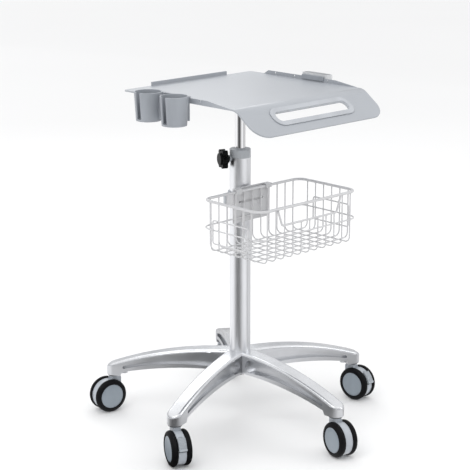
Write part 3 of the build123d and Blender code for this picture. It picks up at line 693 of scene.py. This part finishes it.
class SetStage(bpy.types.Operator):
    """Pale floor, soft light and the camera"""

    bl_idname = "trolley.stage"
    bl_label = "Stage"

    def execute(self, context):
        studio = context.scene.trolley_studio
        self.floor(context)
        self.light(context, "key", (-1.9, -0.6, 2.5), 1.8, 1.8, studio.key)
        self.light(context, "side", (1.9, -1.9, 1.5), 0.7, 2.2, studio.side)
        self.light(context, "back", (1.2, 2.2, 2.0), 1.6, 1.2, studio.key * 0.6)
        self.sky(context, studio.sky)
        self.reflection_card(context)
        self.camera(context, studio.lens)
        context.scene.view_settings.view_transform = "Standard"
        return {"FINISHED"}

    def floor(self, context):
        """Pale paper that no reflection sees, since the reflection card stands in for it."""
        mesh = bpy.data.meshes.new("floor")
        corners = [(-1, -1), (1, -1), (1, 1), (-1, 1)]
        around = [(FLOOR_REACH * x, FLOOR_REACH * y, 0) for x, y in corners]
        mesh.from_pydata(around, [], [(0, 1, 2, 3)])
        floor = bpy.data.objects.new("floor", mesh)
        finish = Finish("floor_paper")
        tone = finish.shade(finish.noise(0.6), (0.86, 0.86, 0.86), (0.88, 0.88, 0.88))
        mesh.materials.append(finish.surface(base_color=tone, roughness=0.8))
        context.scene.collection.objects.link(floor)
        floor.visible_glossy = False

    def camera(self, context, focal_length):
        """A long lens looking slightly down at the whole trolley from the front left."""
        lens = bpy.data.cameras.new("camera")
        lens.lens = focal_length
        lens.sensor_width = 36.0
        lens.clip_end = 100.0
        camera = bpy.data.objects.new("camera", lens)
        right, ahead, up = CAMERA_OFFSET
        camera.location = (COLUMN_AXIS.x + right, COLUMN_AXIS.y + ahead, up)
        camera.rotation_euler = CAMERA_TURN
        context.scene.collection.objects.link(camera)
        context.scene.camera = camera

    def light(self, context, name, place, width, height, power):
        """A rectangular soft light aimed at the column."""
        lamp = bpy.data.lights.new(name, "AREA")
        lamp.shape = "RECTANGLE"
        lamp.size = width
        lamp.size_y = height
        lamp.energy = power
        holder = bpy.data.objects.new(name, lamp)
        holder.location = place
        aim = LIGHT_AIM - Vector(place)
        holder.rotation_euler = aim.to_track_quat("-Z", "Y").to_euler()
        context.scene.collection.objects.link(holder)

    def sky(self, context, strength):
        """White surroundings with a grey belt above the horizon, so that metal shows its shape."""
        world = bpy.data.worlds.new("studio")
        world.use_nodes = True
        tree = world.node_tree
        tree.nodes.clear()
        place = tree.nodes.new("ShaderNodeTexCoord")
        parts = tree.nodes.new("ShaderNodeSeparateXYZ")
        ramp = tree.nodes.new("ShaderNodeValToRGB")
        set_stops(ramp, SKY)
        light = tree.nodes.new("ShaderNodeBackground")
        light.inputs["Strength"].default_value = strength
        out = tree.nodes.new("ShaderNodeOutputWorld")
        tree.links.new(place.outputs["Generated"], parts.inputs[0])
        tree.links.new(parts.outputs["Z"], ramp.inputs["Fac"])
        tree.links.new(ramp.outputs["Color"], light.inputs["Color"])
        tree.links.new(light.outputs["Background"], out.inputs["Surface"])
        context.scene.world = world

    def reflection_card(self, context):
        """A card over the floor that only reflections see, in bright and dark sectors."""
        mesh = bpy.data.meshes.new("reflection_card")
        turns = [math.tau * step / CARD_SIDES for step in range(CARD_SIDES)]
        around = [(CARD_R * math.cos(t), CARD_R * math.sin(t), CARD_HEIGHT) for t in turns]
        mesh.from_pydata(around, [], [tuple(range(CARD_SIDES))])
        finish = Finish("reflection_card")
        centre = (-COLUMN_AXIS.x, -COLUMN_AXIS.y, 0.0)
        about = finish.node("ShaderNodeMapping", inputs={"Vector": finish.place, "Location": centre})
        sector = finish.node("ShaderNodeTexGradient", {"gradient_type": "RADIAL"}, {"Vector": about})
        ramp = finish.node("ShaderNodeValToRGB", inputs={"Fac": sector})
        set_stops(ramp.socket.node, [(place, (v, v, v * 1.01, 1.0)) for place, v in SECTORS])
        glow = finish.node("ShaderNodeEmission", inputs={"Color": ramp})
        finish.node("ShaderNodeOutputMaterial", inputs={"Surface": glow})
        mesh.materials.append(finish.material)
        card = bpy.data.objects.new("reflection_card", mesh)
        context.scene.collection.objects.link(card)
        card.visible_camera = False
        card.visible_diffuse = False
        card.visible_shadow = False


class TrolleyPanel(bpy.types.Panel):
    """Lists the trolley's colours, sizes and steps"""

    bl_idname = "VIEW3D_PT_trolley"
    bl_label = "Lab Trolley"
    bl_space_type = "VIEW_3D"
    bl_region_type = "UI"
    bl_category = "Lab Trolley"

    def draw(self, context):
        for holder, group in GROUPS.items():
            for name in group.__annotations__:
                self.layout.prop(getattr(context.scene, holder), name)
        for step in STEPS:
            self.layout.operator(step.bl_idname)


STEPS = (
    PaintMetal,
    PaintTray,
    PaintBasket,
    PaintPlastic,
    PaintCasters,
    RoundEdges,
    WeldBeads,
    PedalRibs,
    SetStage,
)
GROUPS = {
    "trolley_colours": TrolleyColours,
    "trolley_sizes": TrolleySizes,
    "trolley_studio": TrolleyStudio,
}


def register():
    for group in GROUPS.values():
        bpy.utils.register_class(group)
    for name, group in GROUPS.items():
        setattr(bpy.types.Scene, name, PointerProperty(type=group))
    for step in STEPS:
        bpy.utils.register_class(step)
    bpy.utils.register_class(TrolleyPanel)


def unregister():
    bpy.utils.unregister_class(TrolleyPanel)
    for step in reversed(STEPS):
        bpy.utils.unregister_class(step)
    for name in GROUPS:
        delattr(bpy.types.Scene, name)
    for group in GROUPS.values():
        bpy.utils.unregister_class(group)


def main():
    register()
    for step in STEPS:
        group, name = step.bl_idname.split(".")
        getattr(getattr(bpy.ops, group), name)()


if __name__ == "__main__":
    main()
